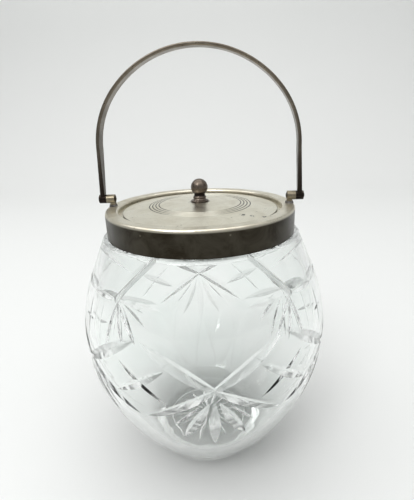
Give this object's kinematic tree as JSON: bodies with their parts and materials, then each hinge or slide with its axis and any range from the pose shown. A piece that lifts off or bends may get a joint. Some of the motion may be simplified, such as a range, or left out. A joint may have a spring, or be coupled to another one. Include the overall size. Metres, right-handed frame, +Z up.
{
  "type": "biscuit jar",
  "caption": "Barrel-shaped cut-glass biscuit jar with a metal collar, a lift-off domed metal lid with a ball knob, and a swinging arched bail handle.",
  "frame": {"origin": "middle of the foot, on the surface that the jar stands on", "axes": "+Z up along the jar's axis, -Y the front, X along the axis of the bail's rivets"},
  "size_m": [0.1568, 0.1568, 0.26],
  "materials": {
    "cut_glass": "clear, polished, wheel-cut",
    "plated_metal": "worn satin silver plate",
    "cement": "matt white cement, greyed",
    "knob_metal": "worn plate, darkened",
    "plain_steel": "plain turned",
    "hinge_metal": "worn plate, brass showing",
    "solder": "dull grey solder",
    "rivet_metal": "darkened",
    "bail_metal": "worn satin silver plate"
  },
  "bodies": {
    "jar": {"glass_jar": "cut_glass", "rim_collar": "plated_metal", "collar_cement": "cement", "lug_left": "hinge_metal", "lug_right": "hinge_metal", "solder_left": "solder", "solder_right": "solder", "pivot_rivet_left": "rivet_metal", "pivot_rivet_right": "rivet_metal"},
    "lid": {"lid_plate": "plated_metal", "lid_locating_ring": "plated_metal", "lid_knob": "knob_metal", "knob_stud": "plain_steel", "knob_washer": "plain_steel", "knob_nut": "plain_steel"},
    "bail": {"bail_handle": "bail_metal"}
  },
  "joints": [
    {"name": "bail_swing", "type": "hinge", "parent": "jar", "child": "bail", "pos_m": [0, 0, 0.1746], "axis": [1, 0, 0], "range_deg": [-118, 118]},
    {"name": "lid_lift", "type": "slide", "parent": "jar", "child": "lid", "axis": [0, 0, 1], "range_m": [0, 0.045]}
  ]
}
